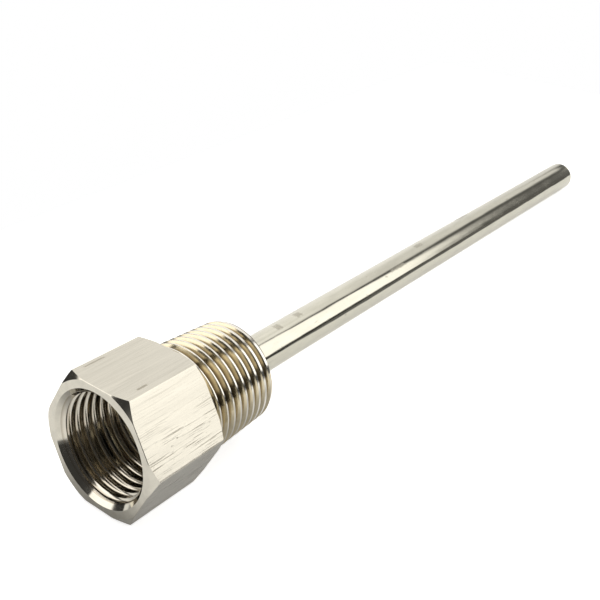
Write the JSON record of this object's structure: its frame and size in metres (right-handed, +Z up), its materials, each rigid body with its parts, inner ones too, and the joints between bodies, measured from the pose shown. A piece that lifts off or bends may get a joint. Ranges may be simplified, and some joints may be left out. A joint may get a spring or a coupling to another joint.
{
  "type": "thermowell",
  "caption": "Steel thermowell: hexagon fitting with a female socket and a tapered male thread, and a slim closed tube that holds a sensor.",
  "frame": {"origin": "on the axis, at the shoulder where the male thread meets the hexagon's back face, from which an insertion length is measured", "axes": "+X along the axis towards the closed tip, +Z up and square to a flat of the hexagon, +Y across two of its corners"},
  "size_m": [0.19, 0.0278, 0.024],
  "materials": {
    "brushed_hexagon": "drawn and brushed along the axis on the flats, bright turned threads and chamfers",
    "polished_tube": "bright polished drawn tube",
    "weld_metal": "as welded, dull"
  },
  "bodies": {
    "root": {"hex_fitting": "brushed_hexagon", "stem_tube": "polished_tube", "seal_weld": "weld_metal"}
  },
  "joints": []
}
